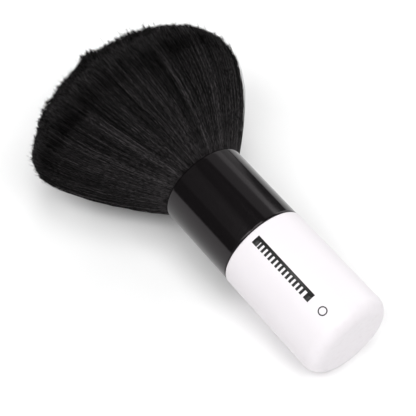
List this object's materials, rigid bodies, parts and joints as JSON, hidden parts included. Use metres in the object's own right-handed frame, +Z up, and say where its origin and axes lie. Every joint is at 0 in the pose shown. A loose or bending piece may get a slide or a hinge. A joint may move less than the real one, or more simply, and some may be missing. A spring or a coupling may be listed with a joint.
{
  "type": "neck duster brush",
  "caption": "Barber's neck duster: a short round white handle, a gloss black ferrule and a wide soft fan of fine black nylon filament, lying on its side.",
  "frame": {"origin": "on the table, under the centre of the brush's footprint", "axes": "+Y towards the head of the brush, +Z up from the table it lies on, X across the brush"},
  "size_m": [0.0888, 0.1486, 0.0644],
  "materials": {
    "white_plastic": "satin, fine soft-touch",
    "bright_steel": "turned",
    "grey_plastic": "moulded",
    "clear_glue": "set glue",
    "grey_glue": "set glue",
    "black_metal": "gloss black lacquer",
    "cup_plastic": "moulded",
    "amber_resin": "set resin",
    "black_thread": "waxed thread",
    "black_nylon": "fine crimped filament"
  },
  "bodies": {
    "root": {"handle_shell": "white_plastic", "counterweight": "bright_steel", "joint_sleeve": "grey_plastic", "handle_glue_bead": "clear_glue", "ferrule_glue_bead": "grey_glue", "ferrule": "black_metal", "knot_cup": "cup_plastic", "root_resin": "amber_resin", "binding_thread": "black_thread", "bristle_head": "black_nylon"}
  },
  "joints": []
}
